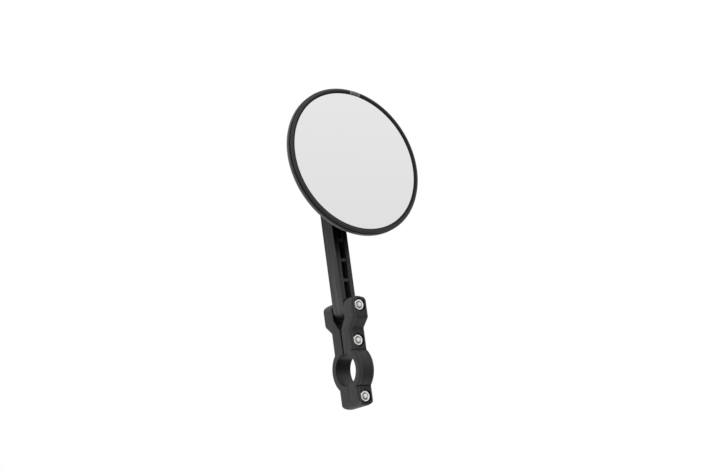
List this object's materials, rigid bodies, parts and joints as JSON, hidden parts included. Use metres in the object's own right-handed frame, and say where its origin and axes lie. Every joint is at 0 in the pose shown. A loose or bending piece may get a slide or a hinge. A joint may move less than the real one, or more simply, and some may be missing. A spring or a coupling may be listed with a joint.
{
  "type": "bike mirror",
  "caption": "Round rear-view mirror on a ribbed swing arm, with a split handlebar clamp and a ball joint behind the glass.",
  "frame": {"origin": "centre of the 22.2 mm handlebar bore, halfway across the clamp's width", "axes": "+X along the handlebar, -Y towards the rider (nuts and mirror face), +Z from the bar up the arm"},
  "size_m": [0.1064, 0.0583, 0.2171],
  "materials": {
    "clamp_plastic": "satin moulded nylon, fine grain",
    "arm_plastic": "satin moulded nylon",
    "head_plastic": "satin moulded ABS",
    "insert_grey": "matte grey moulding",
    "mirror_coat": "silvered flat glass",
    "foam": "black closed-cell foam",
    "zinc_steel": "bright zinc plating",
    "screw_steel": "zinc-plated steel",
    "white_plastic": "natural acetal"
  },
  "bodies": {
    "clamp": {"clamp_half_nut_side": "clamp_plastic", "clamp_half_screw_side": "clamp_plastic", "pivot_screw": "screw_steel", "pivot_nut": "zinc_steel", "pivot_washer": "zinc_steel", "upper_screw": "screw_steel", "upper_nut": "zinc_steel", "lower_screw": "screw_steel", "lower_nut": "zinc_steel"},
    "arm": {"arm": "arm_plastic", "ball_stud": "zinc_steel", "stud_washer": "zinc_steel", "stud_nut": "zinc_steel"},
    "ball": {"ball": "white_plastic"},
    "socket_seat": {"socket_seat": "white_plastic"},
    "mirror_head": {"back_shell": "head_plastic", "bezel_ring": "head_plastic", "bezel_insert": "insert_grey", "mirror_glass": "mirror_coat", "backing_pad": "foam", "ball_cap": "white_plastic", "disc_spring": "zinc_steel", "retainer_plate": "screw_steel", "retainer_screw_1": "screw_steel", "retainer_screw_2": "screw_steel", "retainer_screw_3": "screw_steel"}
  },
  "joints": [
    {"name": "arm_swing", "type": "hinge", "parent": "clamp", "child": "arm", "pos_m": [0, 0, 0.0418], "axis": [0, 1, 0], "range_deg": [-90, 90]},
    {"name": "ball_spin", "type": "hinge", "parent": "arm", "child": "ball", "pos_m": [0, -0.01792, 0.13636], "axis": [0, 1, 0], "continuous": true},
    {"name": "head_yaw", "type": "hinge", "parent": "ball", "child": "socket_seat", "pos_m": [0, -0.01792, 0.13636], "axis": [0, 0, 1], "range_deg": [-15, 15]},
    {"name": "head_tilt", "type": "hinge", "parent": "socket_seat", "child": "mirror_head", "pos_m": [0, -0.01792, 0.13636], "axis": [1, 0, 0], "range_deg": [-12, 24]}
  ]
}
